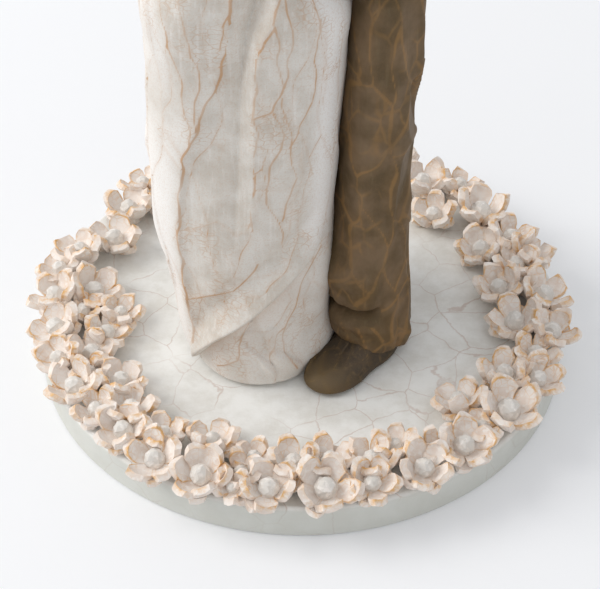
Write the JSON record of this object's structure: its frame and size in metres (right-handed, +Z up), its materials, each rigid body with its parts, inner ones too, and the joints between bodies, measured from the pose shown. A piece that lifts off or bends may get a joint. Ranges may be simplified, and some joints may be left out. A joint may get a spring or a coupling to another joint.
{
  "type": "wedding cake topper",
  "caption": "Round cast-resin plinth ringed with small blossoms, with a standing bride and groom figurine that lifts off it, for the top tier of a cake.",
  "frame": {"origin": "middle of the plinth's flat underside", "axes": "+Z up through the plinth, -Y to the front that the couple face, +X to the groom's side"},
  "size_m": [0.1607, 0.1627, 0.2445],
  "materials": {
    "base": "matt painted cast resin with fine crackle",
    "blossoms": "matt cast resin, petal rims washed with warm ochre",
    "gown": "matt carved-look cast resin, dry-brushed, fine crackle",
    "skin": "matt painted cast resin",
    "bride_hair": "matt painted cast resin",
    "groom_hair": "matt painted cast resin",
    "suit": "matt carved-look cast resin with brushed ridges",
    "shoes": "matt painted cast resin",
    "shirt": "matt painted cast resin",
    "bow_tie": "matt painted cast resin"
  },
  "bodies": {
    "plinth": {"base_disc": "base", "blossom_1": "blossoms", "blossom_2": "blossoms", "blossom_3": "blossoms", "blossom_4": "blossoms", "blossom_5": "blossoms", "blossom_6": "blossoms", "blossom_7": "blossoms", "blossom_8": "blossoms", "blossom_9": "blossoms", "blossom_10": "blossoms", "blossom_11": "blossoms", "blossom_12": "blossoms", "blossom_13": "blossoms", "blossom_14": "blossoms", "blossom_15": "blossoms", "blossom_16": "blossoms", "blossom_17": "blossoms", "blossom_18": "blossoms", "blossom_19": "blossoms", "blossom_20": "blossoms", "blossom_21": "blossoms", "blossom_22": "blossoms", "blossom_23": "blossoms", "blossom_24": "blossoms", "blossom_25": "blossoms", "blossom_26": "blossoms", "blossom_27": "blossoms", "blossom_28": "blossoms", "blossom_29": "blossoms", "blossom_30": "blossoms", "blossom_31": "blossoms", "blossom_32": "blossoms", "blossom_33": "blossoms", "blossom_34": "blossoms", "blossom_35": "blossoms", "blossom_36": "blossoms", "blossom_37": "blossoms"},
    "couple": {"gown_overskirt": "gown", "gown_underskirt": "gown", "gown_bodice": "gown", "bride_shoulders": "skin", "bride_head": "skin", "bride_hair": "bride_hair", "bride_right_arm": "skin", "bride_right_hand": "skin", "bride_left_arm": "skin", "bride_left_hand": "skin", "groom_trousers": "suit", "groom_left_shoe": "shoes", "groom_right_shoe": "shoes", "groom_jacket": "suit", "groom_shirt": "shirt", "groom_bow_tie": "bow_tie", "groom_head": "skin", "groom_hair": "groom_hair", "groom_left_sleeve": "suit", "groom_right_sleeve": "suit", "groom_left_hand": "skin", "groom_right_hand": "skin"}
  },
  "joints": [
    {"name": "couple_lift", "type": "slide", "parent": "plinth", "child": "couple", "axis": [0, 0, 1], "range_m": [0, 0.06]}
  ]
}
